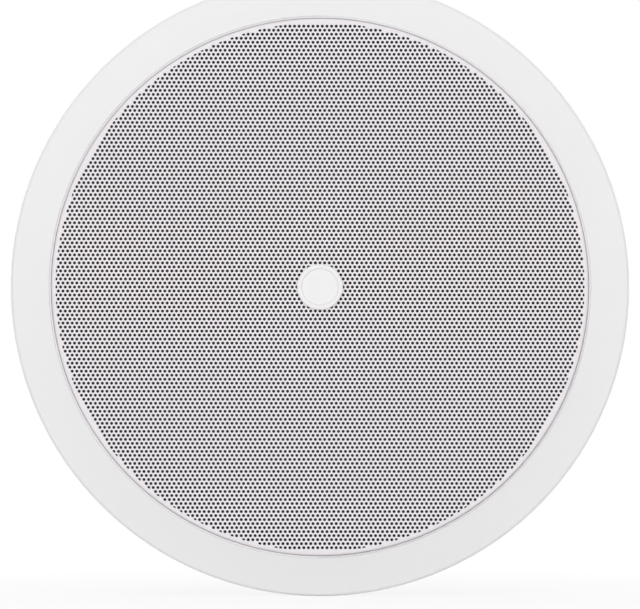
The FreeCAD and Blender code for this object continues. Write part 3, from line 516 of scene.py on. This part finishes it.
def phenolic():
    """Brown paper laminate with its fibres showing."""
    f = Finish("phenolic", Coat_Weight=0.2, Coat_Roughness=0.3)
    fibres = f.noise(300.0, 6.0, 0.7, stretch=(0.25, 1.0, 1.0))
    f.feed("Base Color", f.blend((0.20, 0.095, 0.030), (0.36, 0.195, 0.075), fibres))
    f.feed("Roughness", f.span(fibres, 0.38, 0.55))
    f.bump(fibres, 0.02 * MM, 0.4)
    return f.material


def capacitor_sleeve(node):
    """Dark shrink sleeve with a pale stripe along the back that marks one pole."""
    low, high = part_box(node)
    radius = (high.y - low.y) / 2
    stripe_from = high.y - STRIPE_DEPTH * radius
    f = Finish(f"{node}_sleeve", Coat_Weight=0.4, Coat_Roughness=0.12)
    stripe = f.step(f.part(f.place, "Y"), stripe_from, stripe_from + STRIPE_BLUR * radius)
    wrinkle = f.noise(220.0, 3.0)
    sleeve = f.blend((0.012, 0.016, 0.040), (0.020, 0.028, 0.065), wrinkle)
    f.feed("Base Color", f.blend(sleeve, (0.42, 0.44, 0.48), stripe))
    f.feed("Roughness", f.span(wrinkle, 0.22, 0.34))
    f.bump(wrinkle, 0.08 * MM, 0.4)
    return f.material


def cement():
    f = Finish("cement")
    pores = f.step(f.cells(1100.0), 0.10, 0.35)
    cloud = f.noise(200.0, 5.0)
    body = f.blend((0.62, 0.60, 0.55), (0.74, 0.72, 0.68), cloud)
    f.feed("Base Color", f.blend((0.40, 0.385, 0.35), body, pores))
    f.feed("Roughness", f.span(cloud, 0.75, 0.92))
    f.bump(pores, 0.08 * MM, 0.7)
    return f.material


def tinned():
    f = Finish("tinned", Metallic=1.0)
    flow = f.noise(500.0, 3.0)
    f.feed("Base Color", f.blend((0.62, 0.61, 0.57), (0.80, 0.79, 0.76), flow))
    f.feed("Roughness", f.span(flow, 0.25, 0.45))
    f.bump(flow, 0.03 * MM, 0.5)
    return f.material


def filled_nylon():
    """Glass filled nylon of the clamp dogs, with flow streaks."""
    f = Finish("filled_nylon")
    streaks = f.noise(180.0, 5.0, 0.7, stretch=(1.0, 0.25, 1.0))
    spark = f.noise(1600.0, 2.0)
    f.feed("Base Color", f.blend((0.016, 0.016, 0.017), (0.046, 0.046, 0.048), streaks))
    f.feed("Roughness", f.span(streaks, 0.45, 0.65))
    f.bump(spark, 0.05 * MM, 0.5)
    return f.material


# Mesh helpers
def place_object(name, data):
    """An object in the scene, at the origin."""
    item = bpy.data.objects.new(name, data)
    bpy.context.scene.collection.objects.link(item)
    return item


def new_piece(name, mesh, material, body):
    """A finished piece, riding on a body."""
    mesh.materials.clear()
    mesh.materials.append(material)
    piece = place_object(name, mesh)
    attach(piece, body)
    return piece


def plain_mesh(carrier):
    """The mesh that an object's curve or nodes give. The object itself goes."""
    graph = bpy.context.evaluated_depsgraph_get()
    mesh = bpy.data.meshes.new_from_object(carrier.evaluated_get(graph))
    bpy.data.objects.remove(carrier)
    return mesh


def to_shell(mesh):
    shell = bmesh.new()
    shell.from_mesh(mesh)
    return shell


def to_mesh(shell, name, crease=CREASE):
    mesh = bpy.data.meshes.new(name)
    shell.to_mesh(mesh)
    shell.free()
    mesh.shade_smooth()
    mesh.set_sharp_from_angle(angle=math.radians(crease))
    return mesh


def weld(shell):
    bmesh.ops.remove_doubles(shell, verts=shell.verts, dist=WELD)


def merged_copy(node):
    """A copy of a solid's mesh with its doubled points joined."""
    shell = to_shell(nodes[node].data)
    shell.transform(nodes[node].matrix_world)
    weld(shell)
    return shell


def turn_outline(outline, sides, centre=Vector((0.0, 0.0, 0.0))):
    """A closed outline of (radius, y) points, turned round the line along Y through a centre."""
    shell = bmesh.new()
    angles = [2 * math.pi * k / sides for k in range(sides)]
    rows = [
        [shell.verts.new((radius * math.cos(a), y, radius * math.sin(a))) for a in angles]
        for radius, y in outline
    ]
    for row, following in zip(rows, [*rows[1:], rows[0]]):
        for k in range(sides):
            after = (k + 1) % sides
            shell.faces.new((row[k], row[after], following[after], following[k]))
    bmesh.ops.recalc_face_normals(shell, faces=shell.faces)
    bmesh.ops.translate(shell, verts=shell.verts, vec=(centre.x, 0.0, centre.z))
    return shell


def bend_points(centre, radius, start, stop, count):
    """Points on an arc in the half section, angles in degrees from +radius towards +y."""
    for k in range(count + 1):
        angle = math.radians(start + (stop - start) * k / count)
        yield centre[0] + radius * math.cos(angle), centre[1] + radius * math.sin(angle)


# Geometry trees
class Shape(Tree):
    """A geometry tree with named inputs, evaluated once into a plain mesh."""

    def __init__(self, name, **values):
        super().__init__(bpy.data.node_groups.new(name, "GeometryNodeTree"))
        new_socket = self.tree.interface.new_socket
        new_socket("Geometry", in_out="OUTPUT", socket_type="NodeSocketGeometry")
        self.values = values
        self.sockets = {}
        for label, value in values.items():
            is_finish = isinstance(value, bpy.types.Material)
            kind = "NodeSocketMaterial" if is_finish else "NodeSocketFloat"
            self.sockets[label] = new_socket(label, in_out="INPUT", socket_type=kind)
        self.entry = self.tree.nodes.new("NodeGroupInput")

    def given(self, label):
        return Link(self, self.entry.outputs[label])

    def vector(self, x=0.0, y=0.0, z=0.0):
        return self.node("ShaderNodeCombineXYZ", None, {"X": x, "Y": y, "Z": z})

    def circle(self, radius, sides):
        inputs = {"Resolution": sides, "Radius": radius}
        return self.node("GeometryNodeCurvePrimitiveCircle", {"mode": "RADIUS"}, inputs)

    def join(self, *parts):
        return self.node("GeometryNodeJoinGeometry", None, {0: list(parts)})

    def merge(self, *parts):
        inputs = {"Geometry": self.join(*parts), "Distance": WELD}
        return self.node("GeometryNodeMergeByDistance", None, inputs)

    def move(self, geometry, **target):
        """Sets the points' Position or Offset."""
        return self.node("GeometryNodeSetPosition", None, {"Geometry": geometry, **target})

    def remove(self, geometry, domain, selection):
        inputs = {"Geometry": geometry, "Selection": selection}
        return self.node("GeometryNodeDeleteGeometry", {"domain": domain}, inputs)

    def tilt(self, geometry, turn):
        """Turns the whole round the X axis."""
        inputs = {"Geometry": geometry, "Rotation": (turn, 0.0, 0.0)}
        return self.node("GeometryNodeTransform", None, inputs)

    def finish(self, geometry):
        """Ends the tree in real geometry with its material, and returns the mesh."""
        real = self.node("GeometryNodeRealizeInstances", None, {0: geometry})
        dressed = self.node("GeometryNodeSetMaterial", None, {
            "Geometry": real, "Material": self.given("finish"),
        })
        exit_node = self.tree.nodes.new("NodeGroupOutput")
        self.plug(exit_node.inputs[0], dressed)
        carrier = place_object(self.tree.name, bpy.data.meshes.new(self.tree.name))
        modifier = carrier.modifiers.new(self.tree.name, "NODES")
        modifier.node_group = self.tree
        for label, value in self.values.items():
            modifier[self.sockets[label].identifier] = value
        return plain_mesh(carrier)


def perforated_half(name, side, edge, boss, material):
    """Half of the grille's flat face: hexagonal holes on a triangular lattice, from boss to bend.

    A triangle lattice is split into kites, and their dual is the sheet: a hexagon at each lattice
    point, a bridge at each edge and a small triangle between three holes. The side is 1 for the
    upper half and -1 for the lower one."""
    row_step = HOLE_PITCH * math.sqrt(3) / 2
    half_rows = int(edge / row_step) + SPARE_ROWS
    half_columns = int(edge / HOLE_PITCH) + SPARE_ROWS
    g = Shape(
        name, pitch=HOLE_PITCH, row_step=row_step, hole_scale=HOLE_SHARE / LATTICE_SHARE,
        side=side, edge=edge, rim=PLAIN_RIM, boss=boss, stud=STUD_RADIUS, thickness=SHEET_THICK,
        finish=material,
    )
    pitch, row, edge_in = g.given("pitch"), g.given("row_step"), g.given("edge")
    spot = g.node("GeometryNodeInputPosition")
    y = g.part(spot, "Y")
    radius = g.length(spot)

    lattice = g.node("GeometryNodeMeshGrid", None, {
        "Size X": pitch * (2.0 * half_columns), "Size Y": row * (2.0 * half_rows),
        "Vertices X": 2 * half_columns + 1, "Vertices Y": 2 * half_rows + 1,
    })
    odd_row = g.math("PINGPONG", g.math("ROUND", y / row), 1.0)
    lattice = g.move(lattice, Offset=g.vector(x=odd_row * pitch * 0.5))
    lattice = g.remove(lattice, "POINT", radius > edge_in + pitch * SPARE_PITCHES)
    triangles = g.node("GeometryNodeTriangulate", None, {"Mesh": lattice})
    kites = g.node("GeometryNodeSubdivideMesh", None, {"Mesh": triangles, "Level": 1})
    tiles = g.node("GeometryNodeDualMesh", None, {"Mesh": kites})
    hexagons = g.node("GeometryNodeInputMeshFaceNeighbors", out="Vertex Count") > 5
    tiles = g.node("GeometryNodeScaleElements", {"domain": "FACE"}, {
        "Geometry": tiles, "Selection": hexagons, "Scale": g.given("hole_scale"),
    })

    limit = edge_in - g.given("rim")
    tiles = g.remove(tiles, "FACE", (radius > limit) + (radius < g.given("stud") * STUD_RING))
    pull = g.math("MINIMUM", limit / radius, 1.0)
    inside = g.node("ShaderNodeVectorMath", {"operation": "SCALE"}, {0: spot, "Scale": pull})
    tiles = g.move(tiles, Position=inside)
    open_edges = g.node("GeometryNodeInputMeshEdgeNeighbors", out="Face Count") < 2
    border = g.node("GeometryNodeMeshToCurve", None, {"Mesh": tiles, "Selection": open_edges})
    plain = g.node("GeometryNodeFillCurve", None, {"Curve": g.join(
        border, g.circle(edge_in, SHEET_SIDES), g.circle(g.given("stud"), STUD_SIDES)
    )})
    holes = hexagons * (radius > g.given("boss") - pitch * BOSS_COVER)
    face = g.merge(g.remove(tiles, "FACE", holes), plain)
    face = g.remove(face, "FACE", g.given("side") * (y - row * SPLIT_ROW) < 0.0)

    back = g.node("GeometryNodeExtrudeMesh", {"mode": "FACES"}, {
        "Mesh": face, "Offset": g.vector(z=g.given("thickness") * -1.0), "Offset Scale": 1.0,
        "Individual": False,
    })
    return g.finish(g.tilt(g.merge(face, back), QUARTER_TURN))


# Front pieces
def dress_grille():
    """The perforated face in two halves, inside its bent edge and skirt."""
    low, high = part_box("grille")
    radius = high.x
    edge = radius - SHEET_BEND
    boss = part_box("centre_badge")[1].x
    material = powder_coat()
    centre = (edge, low.y + SHEET_BEND)
    outline = [
        *bend_points(centre, SHEET_BEND, -90, 0, OUTER_BEND_STEPS),
        (radius, high.y),
        (radius - SHEET_THICK, high.y),
        *bend_points(centre, SHEET_BEND - SHEET_THICK, 0, -90, INNER_BEND_STEPS),
    ]
    meshes = {"grille_skirt": to_mesh(turn_outline(outline, SHEET_SIDES), "grille_skirt")}
    for name, side in HALVES.items():
        mesh = perforated_half(name, side, edge, boss, material)
        mesh.transform(Matrix.Translation((0.0, low.y, 0.0)))
        shell = to_shell(mesh)
        bmesh.ops.recalc_face_normals(shell, faces=shell.faces)
        meshes[name] = to_mesh(shell, name)
    for name, mesh in meshes.items():
        piece = new_piece(name, mesh, material, FRAME_BODY)
        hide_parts("grille")


def dress_cloth():
    """Thin cloth glued flat to the back of the sheet. It is a scrim and also painted shade: being near
    black, it makes the holes read evenly dark where the shaded inside of the speaker would show.
    """
    low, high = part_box("grille_cloth")
    radius = high.x
    outline = [(STUD_RADIUS, low.y), (radius, low.y), (radius, high.y), (STUD_RADIUS, high.y)]
    mesh = to_mesh(turn_outline(outline, CLOTH_SIDES), "acoustic_cloth")
    piece = new_piece("acoustic_cloth", mesh, acoustic_cloth(), FRAME_BODY)
    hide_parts("grille_cloth")


# Pieces that flex with the cone
def stray(point, first, last):
    """A point's distance from the straight line between two others."""
    run, reach = last - first, point - first
    if run.length < WELD:
        return reach.length
    return abs(run.x * reach.y - run.y * reach.x) / run.length


def straightened(line):
    """A line without the points that lie within the weld distance of a straight run."""
    first, last = line[0], line[-1]
    strays = [stray(point, first, last) for point in line]
    worst = max(strays)
    if worst <= WELD:
        return [first, last]
    corner = strays.index(worst)
    return straightened(line[: corner + 1])[:-1] + straightened(line[corner:])


def section_outline(node):
    """The half section of a turned solid: a closed line of (radius, y) points in their order."""
    along = Vector((math.cos(SECTION_ANGLE), 0.0, math.sin(SECTION_ANGLE)))
    across = Vector((-along.z, 0.0, along.x))
    shell = merged_copy(node)
    bmesh.ops.bisect_plane(
        shell, geom=[*shell.verts, *shell.edges, *shell.faces], dist=WELD / 10,
        plane_co=(0, 0, 0), plane_no=across, clear_inner=True, clear_outer=True,
    )
    weld(shell)
    start = next(vertex for vertex in shell.verts if vertex.co.dot(along) > 0)
    walk, edge = [start], start.link_edges[0]
    while len(walk) < len(shell.verts) and edge.other_vert(walk[-1]) is not start:
        walk.append(edge.other_vert(walk[-1]))
        edge = next(other for other in walk[-1].link_edges if other is not edge)
    line = [Vector((vertex.co.dot(along), vertex.co.y)) for vertex in walk]
    shell.free()
    return [tuple(point) for point in straightened([*line, line[0]])[:-1]]


def flexible_ring(name, node, material, radii):
    """A ring that follows the cone inside its moving radius and the frame outside its fixed one."""
    moving, fixed = radii
    mesh = to_mesh(turn_outline(section_outline(node), RING_SIDES), name)
    mesh.materials.append(material)
    piece = place_object(name, mesh)
    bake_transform(piece, FRAME_BODY, CONE_BODY, (fixed, 0.0, 0.0), (moving, 0.0, 0.0))
    shares = mesh.attributes["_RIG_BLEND"].data
    for vertex, share in zip(mesh.vertices, shares):
        radius = math.hypot(vertex.co.x, vertex.co.z)
        t = min(max((fixed - radius) / (fixed - moving), 0.0), 1.0)
        share.value = t * t * (3 - 2 * t)
    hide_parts(node)


# Clamp screws
def threaded_shank(length, material):
    """A closed shank along +Y, its radius rising and falling once in each pitch of the thread."""
    g = Shape(
        "threaded_shank", core=THREAD_CORE, crest=THREAD_CREST, pitch=THREAD_PITCH,
        length=length, finish=material,
    )
    pitch, core, length_in = g.given("pitch"), g.given("core"), g.given("length")
    cylinder = g.node("GeometryNodeMeshCylinder", {"fill_type": "NGON"}, {
        "Vertices": THREAD_SIDES, "Side Segments": round(THREAD_ROWS * length / THREAD_PITCH),
        "Fill Segments": 1, "Radius": 1.0, "Depth": length_in,
    })
    spot = g.node("GeometryNodeInputPosition")
    x, y, z = (g.part(spot, axis) for axis in "XYZ")
    phase = z / pitch - g.math("ARCTAN2", y, x) / (2 * math.pi)
    rise = g.math("PINGPONG", phase, 0.5) * 2.0
    lead_in = g.math("MINIMUM", (length_in * 0.5 - z) / pitch, 1.0)
    radius = core + (g.given("crest") - core) * rise * lead_in
    thread = g.move(cylinder, Position=g.vector(x * radius, y * radius, z + length_in * 0.5))
    return g.finish(g.tilt(thread, -QUARTER_TURN))


def off_axis(point, axis):
    return math.hypot(point.x - axis.x, point.z - axis.z)


def dress_clamp_screws(material):
    """Each clamp screw: the head of the solid on a threaded shank."""
    for number in CLAMPS:
        node = f"clamp_screw_{number}"
        low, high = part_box(node)
        axis = (low + high) / 2
        head_back = low.y + SCREW_HEAD
        shell = merged_copy(node)
        shank = [
            face for face in shell.faces
            if all(v.co.y > head_back - WELD for v in face.verts)
            and all(off_axis(v.co, axis) < THREAD_CREST + WELD for v in face.verts)
        ]
        bmesh.ops.delete(shell, geom=shank, context="FACES")
        rim = [edge for edge in shell.edges if edge.is_boundary]
        bmesh.ops.holes_fill(shell, edges=rim)
        thread = threaded_shank(high.y - head_back, material)
        thread.transform(Matrix.Translation((axis.x, head_back, axis.z)))
        shell.from_mesh(thread)
        mesh = to_mesh(shell, node, THREAD_CREASE)
        piece = new_piece(f"threaded_screw_{number}", mesh, material, f"clamp_screw_body_{number}")
        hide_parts(node)


# Crossover
def dress_coil(material):
    """The crossover coil's outer layer of turns, over the layers below."""
    low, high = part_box("coil_winding")
    centre = (low + high) / 2
    radius = (high.x - low.x) / 2
    turns = round((high.y - low.y) / COIL_WIRE)
    wire = (high.y - low.y) / turns
    g = Shape(
        "coil_turns", turns=float(turns - 1), radius=radius - wire / 2,
        height=high.y - low.y - wire, wire=wire / 2, finish=material,
    )
    helix = g.node("GeometryNodeCurveSpiral", None, {
        "Resolution": COIL_SIDES, "Rotations": g.given("turns"), "Height": g.given("height"),
        "Start Radius": g.given("radius"), "End Radius": g.given("radius"),
    })
    wound = g.node("GeometryNodeCurveToMesh", None, {
        "Curve": helix, "Profile Curve": g.circle(g.given("wire"), WIRE_SIDES), "Fill Caps": True,
    })
    mesh = g.finish(g.tilt(wound, -QUARTER_TURN))
    mesh.transform(Matrix.Translation((centre.x, low.y + wire / 2, centre.z)))
    inner = radius - wire
    heart = inner * COIL_HEART
    outline = [(heart, low.y), (inner, low.y), (inner, high.y), (heart, high.y)]
    shell = turn_outline(outline, COIL_SIDES, centre)
    shell.from_mesh(mesh)
    mesh = to_mesh(shell, "wound_coil", WIRE_CREASE)
    piece = new_piece("wound_coil", mesh, material, FRAME_BODY)
    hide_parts("coil_winding")


def dress_bobbin():
    """The coil's moulded bobbin: two cheeks on a hollow core, the outer cheek with a sunk ring."""
    low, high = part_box("coil_bobbin")
    centre = (low + high) / 2
    radius = (high.x - low.x) / 2
    sunk_from, sunk_to = (radius * share for share in BOBBIN_SUNK)
    outline = [
        (BOBBIN_BORE, low.y),
        (radius, low.y),
        (radius, low.y + BOBBIN_CHEEK),
        (BOBBIN_CORE, low.y + BOBBIN_CHEEK),
        (BOBBIN_CORE, high.y - BOBBIN_CHEEK),
        (radius, high.y - BOBBIN_CHEEK),
        (radius, high.y - BOBBIN_ROUND),
        (radius - BOBBIN_ROUND, high.y),
        (sunk_to, high.y),
        (sunk_to, high.y - BOBBIN_ROUND),
        (sunk_from, high.y - BOBBIN_ROUND),
        (sunk_from, high.y),
        (BOBBIN_BORE + BOBBIN_ROUND, high.y),
        (BOBBIN_BORE, high.y - BOBBIN_ROUND),
    ]
    mesh = to_mesh(turn_outline(outline, COIL_SIDES, centre), "moulded_bobbin")
    piece = new_piece("moulded_bobbin", mesh, pale_nylon(), FRAME_BODY)
    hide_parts("coil_bobbin")


def lead_paths():
    """The leads' lines, from both ends of the capacitors and the resistor down to the board."""
    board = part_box("crossover_board")[1].y
    for part in LEADED_PARTS:
        low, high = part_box(part)
        middle = (low + high) / 2
        for end, side in ((low.x, -1), (high.x, 1)):
            path = [(end, middle.y, middle.z)]
            for k in range(LEAD_STEPS + 1):
                angle = QUARTER_TURN * k / LEAD_STEPS
                out = LEAD_BEND * math.sin(angle)
                drop = LEAD_BEND * (1 - math.cos(angle))
                path.append((end + side * (LEAD_RADIUS / 2 + out), middle.y - drop, middle.z))
            path.append((path[-1][0], board, middle.z))
            yield path


def dress_leads():
    """Tinned leads of the crossover's parts."""
    curve = bpy.data.curves.new("component_leads", "CURVE")
    curve.dimensions = "3D"
    curve.bevel_depth = LEAD_RADIUS
    curve.bevel_resolution = LEAD_ROUNDING
    curve.use_fill_caps = True
    for path in lead_paths():
        spline = curve.splines.new("POLY")
        spline.points.add(len(path) - 1)
        for point, spot in zip(spline.points, path):
            point.co = (*spot, 1.0)
    shell = to_shell(plain_mesh(place_object("component_leads", curve)))
    weld(shell)
    mesh = to_mesh(shell, "component_leads", WIRE_CREASE)
    piece = new_piece("component_leads", mesh, tinned(), FRAME_BODY)


# Finishes of the solids that stay as they are
def dress_solids(zinc, copper):
    black = black_moulding()
    board = phenolic()
    dog = filled_nylon()
    finishes = {
        "mounting_frame": white_moulding(),
        "centre_badge": boss_white(),
        "woofer_basket": black_steel(),
        "basket_gasket": foam(),
        "woofer_screws": zinc,
        "top_plate": zinc,
        "magnet_ring": ferrite(),
        "back_plate": zinc,
        "cone": cone_skin(),
        "coil_former": foil(),
        "voice_coil": copper,
        "tweeter_post": zinc,
        "post_nut": straw_zinc(),
        "tweeter_housing": black,
        "tweeter_dome": silk(),
        "crossover_board": board,
        "board_screws": zinc,
        "large_capacitor": capacitor_sleeve("large_capacitor"),
        "small_capacitor": capacitor_sleeve("small_capacitor"),
        "cement_resistor": cement(),
        "terminal_block": black,
        "red_tab": red_moulding(),
        "black_tab": black,
        "tag_strip": board,
        "tag_lugs": tinned(),
    }
    for number in CLAMPS:
        finishes[f"clamp_dog_{number}"] = dog
    for name, material in finishes.items():
        slots = nodes[name].data.materials
        slots.clear()
        slots.append(material)


# Studio
def studio_floor():
    """A pale floor under the flange's edge, white to the camera but for the object's shadow."""
    level = cad_box[0][2]
    signs = ((-1, -1), (1, -1), (1, 1), (-1, 1))
    corners = [(FLOOR_REACH * x, FLOOR_REACH * y, level) for x, y in signs]
    mesh = bpy.data.meshes.new("floor")
    mesh.from_pydata(corners, [], [(0, 1, 2, 3)])
    floor = place_object("floor", mesh)
    f = Finish("floor_paint", Roughness=0.9)
    f.feed("Base Color", f.blend((0.84, 0.84, 0.84), (0.86, 0.86, 0.86), f.noise(3.0)))
    white = f.node("ShaderNodeEmission", None, {"Color": (1.0, 1.0, 1.0, 1.0), "Strength": 1.0})
    share = f.span(f.step(f.length(f.place), *FLOOR_FADE), *FLOOR_WHITE)
    lit = Link(f, f.shader.outputs[0])
    mixed = f.node("ShaderNodeMixShader", None, {0: f.seen() * share, 1: lit, 2: white})
    f.plug(f.tree.nodes["Material Output"].inputs["Surface"], mixed)
    mesh.materials.append(f.material)
    floor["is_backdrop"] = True


def studio_world():
    """Even ambient light, seen as plain white by the camera and in reflections."""
    world = bpy.data.worlds.new("studio")
    bpy.context.scene.world = world
    world.use_nodes = True
    tree = Tree(world.node_tree)
    backdrop = world.node_tree.nodes["Background"]
    backdrop.inputs["Color"].default_value = (1.0, 1.0, 1.0, 1.0)
    strength = AMBIENT + tree.seen() * (1.0 - AMBIENT)
    tree.plug(backdrop.inputs["Strength"], strength)


def studio_lights():
    """Square softboxes that face the middle of the object."""
    for name, (place, width, watts) in SOFTBOXES.items():
        lamp = bpy.data.lights.new(name, "AREA")
        lamp.shape = "SQUARE"
        lamp.size = width
        lamp.energy = watts
        holder = place_object(name, lamp)
        holder.location = place
        holder.rotation_euler = (-Vector(place)).to_track_quat("-Z", "Y").to_euler()


def studio_camera():
    """Straight on, so that the flange has its place and size in the picture."""
    low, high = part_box("mounting_frame")
    pixel = (high.x - low.x) / FLANGE_PIXELS
    lens = bpy.data.cameras.new("camera")
    lens.sensor_fit = "HORIZONTAL"
    lens.lens = lens.sensor_width * CAMERA_DISTANCE / (pixel * PICTURE_WIDTH)
    lens.clip_end = CAMERA_REACH
    camera = place_object("camera", lens)
    camera.location = (0.0, -CAMERA_DISTANCE, -(PICTURE_HEIGHT / 2 - FLANGE_ROW) * pixel)
    camera.rotation_euler = (QUARTER_TURN, 0.0, 0.0)
    bpy.context.scene.camera = camera


def write_sizes():
    boxes = {"cad": cad_box, "visual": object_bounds()}
    plain = {name: [list(map(float, corner)) for corner in box] for name, box in boxes.items()}


bpy.context.scene.view_settings.view_transform = "Standard"
zinc = zinc_plate()
copper = copper_wire()
dress_grille()
dress_cloth()
flexible_ring("flexing_surround", "surround", rubber(), SURROUND_FLEX)
flexible_ring("flexing_spider", "spider", resin_cloth(), SPIDER_FLEX)
dress_clamp_screws(zinc)
dress_coil(copper)
dress_bobbin()
dress_leads()
dress_solids(zinc, copper)
studio_floor()
studio_world()
studio_lights()
studio_camera()
write_sizes()
